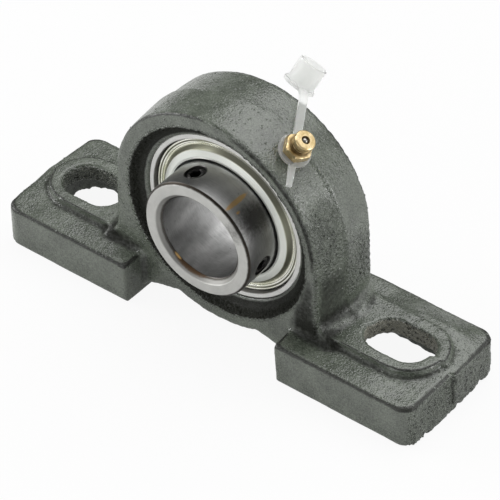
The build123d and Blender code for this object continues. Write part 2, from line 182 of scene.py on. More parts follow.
class Recipe(Graph):
    """Material whose nodes are written as Python expressions."""

    def __init__(self, name: str) -> None:
        """Starts an empty material.

        Args:
            name: The material's name.
        """
        self.material = bpy.data.materials.new(name)
        self.material.use_nodes = True
        super().__init__(self.material.node_tree)
        self.place = self.node("ShaderNodeTexCoord").outputs["Object"]

    def axes(self) -> tuple[Signal, Signal, Signal]:
        """Object coordinates along X, Y and Z, in millimetres."""
        parts = self.node("ShaderNodeSeparateXYZ", {0: self.place}).outputs
        return tuple(Signal(self, part) * (1 / MM) for part in parts)

    def radius(self) -> Signal:
        """Distance from the shaft axis, in millimetres."""
        x, _, z = self.axes()
        return (x * x + z * z) ** 0.5

    def grain(self, size: float, detail: float = 2.0, rough: float = 0.5, place: Any = None) -> Signal:
        """Noise from 0 to 1: size of a blotch in millimetres, octaves, strength of each finer one, and its vector."""
        inputs = {"Vector": place or self.place, "Scale": 1 / (size * MM), "Detail": detail, "Roughness": rough}
        return Signal(self, self.node("ShaderNodeTexNoise", inputs).outputs[0])

    def marks(self, lay: Lay, across: float, along: float, detail: float = 3.0, rough: float = 0.6) -> Signal:
        """Noise drawn out into marks that run round the shaft.

        Args:
            lay: Which way the marks lie.
            across: Width of a mark in millimetres.
            along: Length of a mark, as the number of marks in a radian.
            detail: Octaves of finer noise.
            rough: Strength of each finer octave.

        Returns:
            The noise, between 0 and 1.
        """
        x, y, z = self.axes()
        radius = self.radius()
        run = radius if lay is Lay.FACE else y
        parts = {0: run * (1 / across), 1: x / radius * along, 2: z / radius * along}
        return self.grain(UNIT, detail, rough, self.node("ShaderNodeCombineXYZ", parts).outputs[0])

    def pits(self, gap: float) -> Signal:
        """Distance to the nearest of scattered points over their mean gap, which is in millimetres."""
        inputs = {"Vector": self.place, "Scale": 1 / (gap * MM), "Randomness": 1.0}
        return Signal(self, self.node("ShaderNodeTexVoronoi", inputs).outputs["Distance"])

    def measured(self, name: str) -> Signal:
        """A number kept on the piece's own points."""
        return Signal(self, self.node("ShaderNodeAttribute", attribute_name=name).outputs["Fac"])

    def blend(self, share: Any, first: Any, second: Any) -> NodeSocket:
        """Mixes two colours or colour sockets, with a share of the second from 0 to 1."""
        inputs = {0: share, 6: first, 7: second}
        return self.node("ShaderNodeMix", inputs, data_type="RGBA", clamp_factor=True).outputs[2]

    def surface(
        self, colour: Any, rough: Any, height: Signal, depth: float, metal: Any = 0.0, painted_dark_veil: Any = None, **more: float
    ) -> Material:
        """Closes the material with one Principled shader.

        Args:
            colour: Colour socket.
            rough: Roughness, as a number or signal.
            height: Height of the relief, between 0 and 1.
            depth: Size of a unit of height, in millimetres.
            metal: How metallic the surface is.
            painted_dark_veil: Share of a dull black sheet laid over the shader as painted shade, if any.
            more: The shader's other sockets by name, with _ for a space.

        Returns:
            The material.
        """
        normal = self.node("ShaderNodeBump", {"Height": height, "Distance": depth * MM}).outputs[0]
        named = {name.replace("_", " "): value for name, value in more.items()}
        named |= {"Base Color": colour, "Roughness": rough, "Metallic": metal, "Normal": normal}
        light = self.node("ShaderNodeBsdfPrincipled", named).outputs[0]
        # painted shade: a flat black sheet mixed over the lit surface
        if painted_dark_veil is not None:
            dark_sheet = self.node("ShaderNodeBsdfDiffuse", {"Color": (0.014, 0.015, 0.011)}).outputs[0]
            light = self.node("ShaderNodeMixShader", {0: painted_dark_veil, 1: light, 2: dark_sheet}).outputs[0]
        self.node("ShaderNodeOutputMaterial", {"Surface": light})
        return self.material


class Pattern(Graph):
    """Geometry node tree with named inputs."""

    def __init__(self, name: str) -> None:
        """Starts a tree that takes and gives a geometry.

        Args:
            name: The tree's name.
        """
        super().__init__(bpy.data.node_groups.new(name, "GeometryNodeTree"))
        for way in ("INPUT", "OUTPUT"):
            self.tree.interface.new_socket(name="Geometry", in_out=way, socket_type="NodeSocketGeometry")
        self.keys: dict[str, str] = {}
        self.values: dict[str, Any] = {}
        self.entry = self.node("NodeGroupInput")

    def size(self, name: str, value: Any, kind: str = "NodeSocketFloat") -> str:
        """Adds a named input.

        Args:
            name: The input's name.
            value: Value that the modifier gets.
            kind: Socket type.

        Returns:
            The name, for use in a node's inputs.
        """
        socket = self.tree.interface.new_socket(name=name, in_out="INPUT", socket_type=kind)
        self.keys[name] = socket.identifier
        self.values[name] = value
        return name

    def feed(self, socket: NodeSocket, value: Any) -> None:
        """Links the tree's own input of that name, or feeds the socket as in any node tree."""
        known = isinstance(value, str) and value in self.keys
        super().feed(socket, self.entry.outputs[value] if known else value)

    def made_on(
        self, piece: Object, result: NodeSocket, material: Material
    ) -> Object:
        """Ends the tree and runs it on a piece.

        Args:
            piece: Object whose geometry goes in.
            result: The geometry that the tree makes.
            material: Finish of what it makes.

        Returns:
            The piece, with the result as its plain mesh.
        """
        whole = self.node("GeometryNodeRealizeInstances", {0: result})
        painted = self.node("GeometryNodeSetMaterial", {"Geometry": whole.outputs[0], "Material": material})
        self.node("NodeGroupOutput", {0: painted.outputs[0]})
        modifier = piece.modifiers.new("pattern", "NODES")
        modifier.node_group = self.tree
        for name, key in self.keys.items():
            modifier[key] = self.values[name]
        return settled(piece)


# ---------------------------------------------------------------- finishes


def shaded(colour: Colour, share: float) -> Colour:
    """A share of a colour's light."""
    return tuple(share * part for part in colour)


@dataclass(frozen=True)
class CastEnamel:
    """Grey-green enamel brushed over a rough sand casting. Sizes and gaps are in millimetres."""

    light: Colour = (0.155, 0.177, 0.140)
    dark: Colour = (0.044, 0.053, 0.039)
    # painted shade: near-black colour laid where shade falls in hollows, recesses and pits, and along upper edges as a
    # painted dark reflection
    painted_dark: Colour = (0.010, 0.011, 0.008)
    # bare metal colour, made light enough to stand in as painted light on the shaded slot walls
    bare: Colour = (0.36, 0.355, 0.29)
    # lighter colour for wear on convex edges and, as a painted highlight, on the nibs
    wear_and_nib_highlight: Colour = (0.165, 0.178, 0.158)
    relief: float = 0.52
    mottle_size: float = 5.5
    speck_size: float = 0.45
    hole_gap: float = 1.25
    spot_gap: float = 0.95
    peel_size: float = 1.9
    stipple_size: float = 0.5
    crust_size: float = 0.95
    gloss: float = 0.19

    def paint(self) -> Material:
        """Builds the enamel, darkened as painted shade in hollows, recesses and pits, with painted dark reflections
        along upper edges, lightened as painted light on the slot walls, and lighter on worn convex edges and, as a
        painted highlight, on the nibs.

        Returns:
            The material.
        """
        make = Recipe("enamelled_casting")
        hollow, coarse, edge, bare = (make.measured(name) for name in ("hollow", "coarse", "edge", "bare"))
        mottle = make.grain(self.mottle_size, 4, 0.6).between(*MIDDLE)
        speck = make.grain(self.speck_size, 2, 0.6).between(*MIDDLE)
        body = make.blend(mottle * 0.40 + speck * 0.60, self.dark, self.light)
        # painted light: slot walls lightened towards the pale bare-metal colour
        body = make.blend((bare + speck * 0.5 - 0.5).between(0.0, 0.8), body, self.bare)
        # painted shade: hollows and the shaded zones noted on the casting turn dark
        painted_dark = (hollow + make.grain(1.1, 3, 0.6) * 0.5 - 0.30).between(0.10, 0.50)
        body = make.blend(painted_dark * 0.9, body, self.painted_dark)
        # painted dark reflection: a dark line along upward-facing convex edges
        edge_dark_reflection = (edge + make.grain(0.9, 3, 0.65) * 0.8 - 0.4).between(0.25, 0.65)
        body = make.blend(edge_dark_reflection * 0.85, body, self.painted_dark)
        # lighter on convex places: wear on edges, painted highlight on the nibs
        body = make.blend((0.0 - hollow).between(0.5, 0.9), body, self.wear_and_nib_highlight)
        holes = (1.0 - make.pits(self.hole_gap).between(0.10, 0.34)) * coarse.between(0.35, 0.8)
        body = make.blend(holes * 0.70, body, self.painted_dark)
        rough = coarse.between(0.2, 0.9)
        peel = make.grain(self.peel_size, 1, 0.4)
        stipple = make.grain(self.stipple_size, 1, 0.5)
        spotty = make.grain(1.6, 1, 0.5).between(0.45, 0.6)
        spots = (1.0 - make.pits(self.spot_gap).between(0.06, 0.36)) * spotty
        crust = make.grain(self.crust_size, 2, 0.6).between(*MIDDLE)
        height = peel * 0.16 + stipple * (0.25 + rough * 0.25) + spots * 0.22 + crust * rough * 1.2 - holes * 1.1
        gloss = self.gloss + mottle * 0.08 + rough * 0.06 + painted_dark * 0.30 + edge_dark_reflection * 0.2
        # painted shade: a dull black sheet over the hollows, the dark edge lines and the pits
        painted_dark_veil = (painted_dark * (0.60 + speck * 0.25) + edge_dark_reflection * 0.35 + holes * 0.25).between(0.0, 1.0)
        return make.surface(body, gloss, height, self.relief, painted_dark_veil=painted_dark_veil, Specular_IOR_Level=0.85, IOR=1.55)


@dataclass(frozen=True)
class Stain:
    """A patch of colour at one place on a ring, in degrees from +Z towards +X and in millimetres, used for heat tints,
    a painted dark reflection, painted shadows and a painted glint.
    """

    turn: float
    along: float
    width: float
    length: float
    colour: Colour = (0.78, 0.50, 0.20)
    soft: float = 0.9
    ragged: float = 0.9
    strength: float = 0.85

    def share(self, make: Recipe) -> Signal:
        """How much of the steel it hides at each place.

        Args:
            make: The steel's recipe.

        Returns:
            The share, from 0 to 1.
        """
        x, y, z = make.axes()
        a = math.radians(self.turn)
        across = x * math.cos(a) - z * math.sin(a)
        out = (x * math.sin(a) + z * math.cos(a)).between(0.0, 1.0)
        ragged = (make.grain(0.8, 3, 0.6) - 0.5) * self.ragged
        near = 1.0 - (across / self.width) ** 2.0 - ((y - self.along) / self.length) ** 2.0 + ragged
        return near.between(0.0, self.soft) * out * self.strength


@dataclass(frozen=True)
class GroundSteel:
    """Bearing steel of a ring: pale ground ends, darker ground lands, and chamfers darkened by black scale and a
    painted dark reflection.
    """

    name: str
    bore_r: float
    outer_r: float
    end: Colour = (0.60, 0.60, 0.575)
    land: Colour = (0.60, 0.60, 0.595)
    # black scale; on the chamfers it also serves as a painted dark reflection
    scale: Colour = (0.040, 0.034, 0.028)
    end_gloss: float = 0.46
    land_gloss: float = 0.27
    corner: float = 0.35
    sheen: float = 1.0
    flare: float = 1.0
    stains: tuple[Stain, ...] = ()
    ends: tuple[float, float] = (-19.8, 14.3)
    outer_chamfer: float = 0.72
    bore_chamfer: float = 1.55

    def near_ends(self, make: Recipe, reach: float) -> Signal:
        """Share of a place on the chamfers, by how near it lies to an end of the ring.

        Args:
            make: The steel's recipe.
            reach: Length of the chamfer along the shaft, in millimetres.

        Returns:
            The share, from 0 to 1.
        """
        _, y, _ = make.axes()
        limits = (reach - 0.08, reach + 0.08)
        return (1.0 - (y - self.ends[0]).between(*limits)).most(1.0 - (self.ends[1] - y).between(*limits))

    def chamfer_scale_and_reflection(self, make: Recipe, radius: Signal) -> Signal:
        """Share of black scale and painted dark reflection along the outer and the inner chamfers.

        Args:
            make: The steel's recipe.
            radius: Distance from the shaft axis.

        Returns:
            The share, from 0 to 1.
        """
        ragged = (make.grain(1.2, 3, 0.6) * 0.5 - 0.25) * (0.1 + 0.9 * self.flare)
        wavy = radius + ragged * 0.5
        rim = wavy.between(self.outer_r - 0.75, self.outer_r - 0.45) * self.near_ends(make, self.outer_chamfer)
        lip = (1.0 - wavy.between(self.bore_r + 0.35, self.bore_r + 0.65)) * (0.9 - 0.45 * self.flare)
        soft = (1.0 - radius.between(self.bore_r + 1.2, self.bore_r + 1.45)) * (0.45 * self.flare)
        return rim.most((lip + soft) * self.near_ends(make, self.bore_chamfer))

    def paint(self) -> Material:
        """Builds the steel, with marks that run round the shaft in colour, gloss and relief.

        Returns:
            The material.
        """
        make = Recipe(self.name)
        radius = make.radius()
        inside = 1.0 - radius.between(self.bore_r, self.bore_r + self.corner)
        land = inside.most(radius.between(self.outer_r - self.corner, self.outer_r)).between(0.3, 0.7)
        face_marks = make.marks(Lay.FACE, 0.20, 7.0)
        land_marks = make.marks(Lay.LAND, 0.16, 5.0)
        soft = make.marks(Lay.LAND, 9.0, 2.6, 2, 0.5)
        smudge = make.grain(3.5, 3, 0.6)
        shade = (face_marks * 0.35 + smudge * 0.65).between(0.32, 0.68)
        end = make.blend(shade, self.end, shaded(self.end, 0.86))
        shade = (land_marks * 0.30 + soft * 0.50 + smudge * 0.20).between(0.38, 0.62)
        side = make.blend(shade, self.land, shaded(self.land, 0.55))
        speck = make.grain(0.9, 3, 0.7).between(0.66, 0.74)
        side = make.blend(speck * 0.8, side, self.scale)
        # chamfers darkened by scale and a painted dark reflection
        colour = make.blend(self.chamfer_scale_and_reflection(make, radius), make.blend(land, end, side), self.scale)
        for stain in self.stains:
            colour = make.blend(stain.share(make), colour, stain.colour)
        marks = face_marks * (1.0 - land) + land_marks * land
        gloss = (1.0 - land) * (self.end_gloss - self.land_gloss) + self.land_gloss + marks * 0.08 + smudge * 0.05
        return make.surface(colour, gloss, marks, 0.010, self.sheen)


@dataclass(frozen=True)
class PlatedSheet:
    """Pressed sheet steel under a pale yellow-green plating."""

    # light is set near white as painted light, making up for the shade of the recess
    light: Colour = (0.97, 0.97, 0.90)
    tint: Colour = (0.70, 0.71, 0.58)
    # painted dark reflection of the housing's recess, laid on the slopes
    slope: Colour = (0.25, 0.25, 0.182)
    # painted white reflection on the dome by the bore
    dome: Colour = (0.90, 0.93, 0.88)
    upper_slope: tuple[tuple[float, float], ...] = ((20.4, 20.65), (21.5, 21.7))
    lower_slope: tuple[tuple[float, float], ...] = ((22.6, 22.7), (23.0, 23.1))
    dome_edge: tuple[float, float] = (20.3, 20.6)

    def paint(self) -> Material:
        """Builds the plating with faint spin marks and a cloudy tint, a painted dark reflection on the slopes and a
        painted white reflection on the dome by the bore.

        Returns:
            The material.
        """
        make = Recipe("plated_sheet")
        marks = make.marks(Lay.FACE, 0.22, 3.0, 3, 0.55)
        cloud = make.grain(11.0, 3, 0.55)
        colour = make.blend((cloud * 0.7 + marks * 0.3).between(0.42, 0.62), self.light, self.tint)
        radius = make.radius() + cloud * 0.1 - 0.05
        slope = radius.band(*self.upper_slope) + radius.band(*self.lower_slope)
        dome = 1.0 - radius.between(*self.dome_edge)
        # painted reflections: dark slope bands and a whiter, less metallic dome
        colour = make.blend(slope * 0.9, make.blend(dome * 0.8, colour, self.dome), self.slope)
        gloss = 0.17 + marks * 0.08 + cloud * 0.05 + dome * 0.16 + slope * 0.16
        height = marks * 0.5 + make.grain(4.0, 2, 0.5)
        return make.surface(colour, gloss, height, 0.010, 1.0 - dome * 0.45)


@dataclass(frozen=True)
class SealRubber:
    """Moulded black rubber with a satin skin."""

    colour: Colour = (0.012, 0.012, 0.012)
    bloom: Colour = (0.030, 0.029, 0.027)

    def paint(self) -> Material:
        """Builds the rubber with a dusty bloom.

        Returns:
            The material.
        """
        make = Recipe("seal_rubber")
        dust = make.grain(0.8, 4, 0.65)
        colour = make.blend(dust.between(0.45, 0.7), self.colour, self.bloom)
        return make.surface(colour, 0.42 + dust * 0.2, dust, 0.01)


@dataclass(frozen=True)
class BlackSteel:
    """Oiled black-oxide steel of the set screws and the check spring."""

    colour: Colour = (0.020, 0.019, 0.020)
    rubbed: Colour = (0.085, 0.080, 0.078)

    def paint(self) -> Material:
        """Builds the oxide, rubbed bright in specks.

        Returns:
            The material.
        """
        make = Recipe("black_steel")
        rub = make.grain(0.5, 4, 0.65).between(0.52, 0.72)
        colour = make.blend(rub, self.colour, self.rubbed)
        return make.surface(colour, 0.30 + rub * 0.15, rub, 0.008, 0.85)


@dataclass(frozen=True)
class TurnedBrass:
    """Turned brass, dulled in the grooves."""

    bright: Colour = (0.78, 0.62, 0.36)
    dull: Colour = (0.52, 0.38, 0.17)
    tarnish: Colour = (0.090, 0.058, 0.024)

    def paint(self) -> Material:
        """Builds the brass with tarnish where no tool or hand rubs it.

        Returns:
            The material.
        """
        make = Recipe("nipple_brass")
        cloud = make.grain(1.6, 4, 0.6)
        fine = make.grain(0.25, 2, 0.5)
        sunk = (make.measured("dull") + cloud * 0.5 - 0.25).between(0.2, 0.8)
        colour = make.blend(cloud.between(0.42, 0.68), self.bright, self.dull)
        colour = make.blend(sunk * 0.9, colour, self.tarnish)
        gloss = 0.22 + cloud * 0.14 + sunk * 0.1
        return make.surface(colour, gloss, cloud + fine * 0.4, 0.012, 1.0)


@dataclass(frozen=True)
class MilkyPlastic:
    """Soft natural plastic that lets most light through."""

    colour: Colour = (0.955, 0.960, 0.945)
    haze: Colour = (0.915, 0.925, 0.910)
    clear: float = 0.77
    bend: float = 1.18

    def paint(self) -> Material:
        """Builds the plastic with a faint flow pattern from moulding.

        Returns:
            The material.
        """
        make = Recipe("cap_plastic")
        flow = make.grain(3.0, 3, 0.5)
        colour = make.blend(flow.between(0.4, 0.6), self.colour, self.haze)
        ripple = make.grain(0.7, 2, 0.5)
        return make.surface(colour, 0.26 + flow * 0.12, ripple, 0.02, Transmission_Weight=self.clear, IOR=self.bend)


@dataclass(frozen=True)
class BrightSteel:
    """Plain bright steel for balls and pressed parts."""

    name: str
    light: Colour = (0.74, 0.74, 0.75)
    dark: Colour = (0.60, 0.60, 0.61)
    gloss: float = 0.10
    oil_film: float = 3.0

    def paint(self) -> Material:
        """Builds the steel with an uneven, oily film.

        Returns:
            The material.
        """
        make = Recipe(self.name)
        film = make.grain(self.oil_film, 3, 0.55)
        scuff = make.grain(0.3, 3, 0.6)
        colour = make.blend(film.between(0.38, 0.66), self.light, self.dark)
        gloss = self.gloss + film * 0.06 + scuff.between(0.5, 0.8) * 0.08
        return make.surface(colour, gloss, scuff, 0.004, 1.0)


# ---------------------------------------------------------------- mesh tools


def ramp(values: Array, start: float, end: float) -> Array:
    """0 up to the start, 1 from the end on and even between. The end may lie below the start."""
    return np.clip((values - start) / (end - start), 0, 1)


def bell(*offsets: Array) -> Array:
    """1 where every offset is zero, fading as any of them nears 1 and passes it."""
    return np.exp(-sum(offset**2 for offset in offsets))


def rounded(corners: Sequence[Triple], steps: int = 4) -> Array:
    """Rounds the corners of a closed outline.

    Args:
        corners: (x, y, radius) of each corner, in millimetres.
        steps: Faces in each rounded corner.

    Returns:
        Points of the outline, shaped (points, 2).
    """
    points: list[Array] = []
    count = len(corners)
    for i, (x, y, radius) in enumerate(corners):
        here = np.array((x, y))
        if radius <= 0:
            points.append(here)
            continue
        back = np.array(corners[i - 1][:2]) - here
        ahead = np.array(corners[(i + 1) % count][:2]) - here
        back /= np.linalg.norm(back)
        ahead /= np.linalg.norm(ahead)
        half = math.acos(float(np.clip(back @ ahead, -1, 1))) / 2
        middle = (back + ahead) / np.linalg.norm(back + ahead)
        centre = here + middle * radius / math.sin(half)
        start = here + back * radius / math.tan(half) - centre
        end = here + ahead * radius / math.tan(half) - centre
        first = math.atan2(start[1], start[0])
        turn = (math.atan2(end[1], end[0]) - first + math.pi) % (2 * math.pi) - math.pi
        angles = first + turn * np.linspace(0, 1, steps + 1)
        points += [centre + radius * np.array((math.cos(a), math.sin(a))) for a in angles]
    return np.array(points)


def skin(loops: Array, wrapped: bool) -> Mesh:
    """Joins closed loops of points into one closed shell with its faces outwards.

    Args:
        loops: Points in millimetres, shaped (loops, points, 3).
        wrapped: True joins the last loop to the first. False closes each end with a face.

    Returns:
        The mesh, in metres.
    """
    rows, count = loops.shape[:2]
    index = np.arange(rows * count).reshape(rows, count)
    lower = index if wrapped else index[:-1]
    upper = np.roll(index, -1, axis=0) if wrapped else index[1:]
    quads = np.stack((lower, np.roll(lower, -1, 1), np.roll(upper, -1, 1), upper), -1).reshape(-1, 4)
    faces = quads.tolist()
    if not wrapped:
        faces += [index[0].tolist(), index[-1].tolist()]
    mesh = bpy.data.meshes.new("shell")
    mesh.from_pydata((loops.reshape(-1, 3) * MM).tolist(), [], faces)
    return face_outwards(mesh)


def face_outwards(mesh: Mesh, merge: float = 1e-7) -> Mesh:
    """Merges doubled points and turns every face outwards.

    Args:
        mesh: The mesh to change.
        merge: Distance in metres under which points become one.

    Returns:
        The same mesh.
    """
    work = bmesh.new()
    work.from_mesh(mesh)
    bmesh.ops.remove_doubles(work, verts=work.verts, dist=merge)
    bmesh.ops.recalc_face_normals(work, faces=work.faces)
    work.to_mesh(mesh)
    work.free()
    return mesh


def turned(outline: Array, segments: int = 256) -> Array:
    """Loops, for skin(), of a section of (radius, shaft position) points turned on the shaft axis."""
    radius, angles = outline[:, :1], np.linspace(0, 2 * math.pi, segments, endpoint=False)
    return np.stack((radius * np.sin(angles), outline[:, 1:] + 0 * angles, radius * np.cos(angles)), -1)


def shown(name: str, data: bpy.types.ID | None) -> Object:
    """Puts a mesh, lamp or camera in the scene.

    Args:
        name: Name of the object.
        data: What it shows.

    Returns:
        The object, at the origin.
    """
    piece = bpy.data.objects.new(name, data)
    bpy.context.scene.collection.objects.link(piece)
    return piece


def joined_copy(name: str, node: str) -> Object:
    """Object with a copy of a CAD node's mesh, its seams joined."""
    return shown(name, face_outwards(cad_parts[node].data.copy(), CAD_SEAM))


def settled(piece: Object) -> Object:
    """Applies every modifier of a piece and removes them.

    Args:
        piece: The object, with live modifiers.

    Returns:
        The same object with the finished mesh.
    """
    depsgraph = bpy.context.evaluated_depsgraph_get()
    mesh = bpy.data.meshes.new_from_object(piece.evaluated_get(depsgraph), depsgraph=depsgraph)
    piece.modifiers.clear()
    piece.data = mesh
    return piece


def softened(piece: Object, grid: float, rounds: int) -> Object:
    """Meshes a piece anew on an even grid and rounds its edges.

    Args:
        piece: The object.
        grid: Size of the grid in millimetres.
        rounds: Rounds of smoothing.

    Returns:
        The same object with the finished mesh.
    """
    remesh = piece.modifiers.new("grid", "REMESH")
    remesh.mode = "VOXEL"
    remesh.voxel_size = grid * MM
    smooth = piece.modifiers.new("soften", "SMOOTH")
    smooth.factor = 0.5
    smooth.iterations = rounds
    return settled(piece)


def note(mesh: Mesh, name: str, values: Array) -> None:
    """Keeps one number on each point of a mesh, under a name that its finish or a pattern reads."""
    mesh.attributes.new(name, "FLOAT", "POINT").data.foreach_set("value", values.astype(np.float32))


def finished(
    piece: Object,
    body: str,
    material: Material,
    nodes: Sequence[str] = (),
    edge: float = 32,
) -> Object:
    """Smooths, paints and mounts a piece.

    Args:
        piece: The object, with its place in its mesh.
        body: Body that it rides on.
        material: Its finish.
        nodes: Nodes that it stands for.
        edge: Angle in degrees past which an edge stays sharp.

    Returns:
        The same object.
    """
    piece.data.materials.clear()
    piece.data.materials.append(material)
    piece.data.shade_smooth()
    piece.data.set_sharp_from_angle(angle=math.radians(edge))
    if nodes:
        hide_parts(*nodes)
    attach(piece, body)
    LOG.info("%s: %d faces on %s", piece.name, len(piece.data.polygons), body)
    return piece


def cut(piece: Object, cutters: Sequence[Object]) -> Object:
    """Cuts closed objects out of a piece.

    Args:
        piece: The object to cut.
        cutters: The objects to take away, which are deleted.

    Returns:
        The same object, cut.
    """
    for cutter in cutters:
        modifier = piece.modifiers.new("cut", "BOOLEAN")
        modifier.operation = "DIFFERENCE"
        modifier.solver = "EXACT"
        modifier.object = cutter
        settled(piece)
        bpy.data.objects.remove(cutter)
    return piece


def dress(nodes: Sequence[str], material: Material) -> None:
    """Gives CAD nodes a finish.

    Args:
        nodes: Their names.
        material: The finish.
    """
    for name in nodes:
        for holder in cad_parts[name].material_slots:
            holder.material = material
        LOG.info("%s: dressed as %s", name, material.name)


# ---------------------------------------------------------------- casting


@dataclass(frozen=True)
class Places:
    """Places of the casting's points, in millimetres. x, y and z are views, so they follow every move."""

    x: Array
    y: Array
    z: Array
    radius: Array
    up: Array
    slot_x: float = 52.5
    slot_half: float = 3.5

    def off_slot(self) -> Array:
        """Distance from the middle line of the nearer bolt slot."""
        return np.hypot(np.maximum(np.abs(np.abs(self.x) - self.slot_x) - self.slot_half, 0), self.y)

    def head_side(self) -> Array:
        """Reach of the head's wall: round the shaft above its axis, straight along +X below it."""
        return np.where(self.z > 0, self.radius, self.x)


@dataclass
class Casting:
    """Housing: one sand casting with uneven walls and edges, under enamel."""

    grid: float = 0.60
    soften: int = 2
    hollow_rounds: int = 24
    seam_shift: float = 1.15
    seam_width: float = 0.35
    swell: float = 0.16
    peel: float = 0.035
    crust: float = 0.26
    chips: float = 0.9
    pad_top: float = -21.0
    seat_r: float = 26.7
    head_half: float = 32.0
    nib_r: float = 0.34
    nib_gap: float = 1.1
    nib_density: float = 0.30
    nib_sizes: tuple[float, float] = (0.4, 1.2)
    nib_flatness: float = 0.55
    ragged: float = 0.7
    body: str = "housing"
    slot: str = "enamelled_casting"
    edge: float = 75.0

    def build(self, finish: Material) -> Object:
        """Casts the housing and the nibs on it.

        Args:
            finish: The enamel.

        Returns:
            The casting.
        """
        piece = softened(joined_copy("casting", "housing"), self.grid, self.soften)
        self.weather(piece.data)
        self.sprinkle(piece, finish)
        return finished(piece, self.body, finish, ["housing"], self.edge)

    def sprinkle(self, casting: Object, finish: Material) -> Object:
        """Scatters small nibs of sand and paint over the casting's upper faces.

        Args:
            casting: The weathered casting, with its nib density on its points.
            finish: The enamel.

        Returns:
            The nibs, as one piece.
        """
        make = Pattern("nibs")
        density = make.node("GeometryNodeInputNamedAttribute", {"Name": "nibs"}, data_type="FLOAT")
        inputs = {
            "Mesh": make.entry.outputs[0],
            "Distance Min": make.size("Spacing", self.nib_gap * MM),
            "Density Max": make.size("Density", self.nib_density / MM**2),
            "Density Factor": density.outputs["Attribute"],
            "Seed": make.size("Seed", 5, "NodeSocketInt"),
        }
        spread = make.node("GeometryNodeDistributePointsOnFaces", inputs, distribute_method="POISSON")
        inputs = {"Radius": make.size("Radius", self.nib_r * MM), "Subdivisions": 2}
        grit = make.node("GeometryNodeMeshIcoSphere", inputs)
        inputs = {"Min": self.nib_sizes[0], "Max": self.nib_sizes[1], "Seed": 3}
        size = make.node("FunctionNodeRandomValue", inputs, data_type="FLOAT").outputs[1]
        even = make.node("ShaderNodeCombineXYZ", {0: size, 1: size, 2: size}).outputs[0]
        low = make.node("ShaderNodeVectorMath", {0: even, 1: (1.0, 1.0, self.nib_flatness)}, operation="MULTIPLY")
        inputs = {
            "Points": spread.outputs["Points"],
            "Instance": grit.outputs["Mesh"],
            "Rotation": spread.outputs["Rotation"],
            "Scale": low.outputs[0],
        }
        grits = make.node("GeometryNodeInstanceOnPoints", inputs)
        nibs = make.made_on(shown("casting_nibs", casting.data.copy()), grits.outputs[0], finish)
        known = nibs.data.attributes
        # nibs count as convex, so they take the lighter wear colour as a painted highlight
        for name, level in (("hollow", -0.8), ("edge", 0.0), ("coarse", 0.0), ("bare", 0.0)):
            if name in known:
                known.remove(known[name])
            note(nibs.data, name, np.full(len(nibs.data.vertices), level))
        return finished(nibs, self.body, finish, edge=self.edge)

    def weather(self, mesh: Mesh) -> None:
        """Gives the casting its mould mismatch, waves, peel, crust and wear, and notes what its enamel reads.

        Args:
            mesh: The remeshed casting, changed in place.
        """
        count = len(mesh.vertices)
        points, normals = np.empty(count * 3), np.empty(count * 3)
        edges = np.empty(len(mesh.edges) * 2, np.int32)
        mesh.vertices.foreach_get("co", points)
        mesh.vertices.foreach_get("normal", normals)
        mesh.edges.foreach_get("vertices", edges)
        points, normals, edges = points.reshape(-1, 3) / MM, normals.reshape(-1, 3), edges.reshape(-1, 2)
        hollow = self.hollows(points, normals, edges)
        at = Places(*points.T, np.hypot(points[:, 0], points[:, 2]), normals[:, 2])
        low, high = (np.array(corner) / MM for corner in CAD_BOX)
        base = low[2]

        points[:, 0] -= self.mismatch(at, base)
        coarse = self.coarse_zones(at)
        foot_of_head = bell((np.abs(at.x) - self.head_half) / 5.5, (at.z + 21.5) / 3.0)
        lift = self.swell * self.field(points, 9.0, 2, 11) + self.peel * self.field(points, 1.7, 2, 23)
        lift = lift + self.crust * coarse * self.field(points, 1.1, 3, 37)
        lift = lift * ramp(at.radius, self.seat_r, self.seat_r + 1.0) * ramp(at.z, base, base + 0.8)
        lift = lift + 0.5 * np.clip(hollow, 0, 0.6) * foot_of_head
        points += normals * lift[:, None]
        points += self.flash(points)
        chipped, faded = self.worn_end(at, points)
        points += chipped
        mesh.vertices.foreach_set("co", (np.clip(points, low, high) * MM).ravel())

        # painted shade: zones where shade falls are added to the hollows
        hollow = self.with_painted_shade(at, hollow * (1 - faded), foot_of_head)
        slot = at.off_slot()
        # the hollow note carries concavity and painted shade, which darken the enamel
        note(mesh, "hollow", np.clip(hollow / 0.9, 0, 1))
        # painted dark reflection: upward-facing convex edges, away from the slots, get a dark line
        note(mesh, "edge", ramp(-hollow, 0.225, 0.475) * ramp(at.up, 0.1, 0.4) * (slot > 8.5))
        note(mesh, "coarse", coarse)
        # painted light: slot walls below the pads lightened, fully on the right foot and less on the left
        note(mesh, "bare", ((slot < 7.3) & (at.z < -21.6)) * np.where(at.x > 0, 1.0, 0.3))
        note(mesh, "nibs", self.nib_zones(at))
        mesh.update()

    def hollows(self, points: Array, normals: Array, edges: Array) -> Array:
        """How far each point lies in a hollow, or stands on an edge.

        Args:
            points: Points in millimetres.
            normals: Their normals.
            edges: Pairs of joined points.

        Returns:
            Distance in millimetres to the averaged surface, positive in a hollow.
        """
        degree = np.bincount(edges.ravel(), minlength=len(points))[:, None]
        mean = points.copy()
        for _ in range(self.hollow_rounds):
            total = np.zeros_like(mean)
            for axis in range(3):
                total[:, axis] += np.bincount(edges[:, 0], mean[edges[:, 1], axis], len(points))
                total[:, axis] += np.bincount(edges[:, 1], mean[edges[:, 0], axis], len(points))
            mean = 0.5 * mean + 0.5 * total / degree
        return ((mean - points) * normals).sum(1)

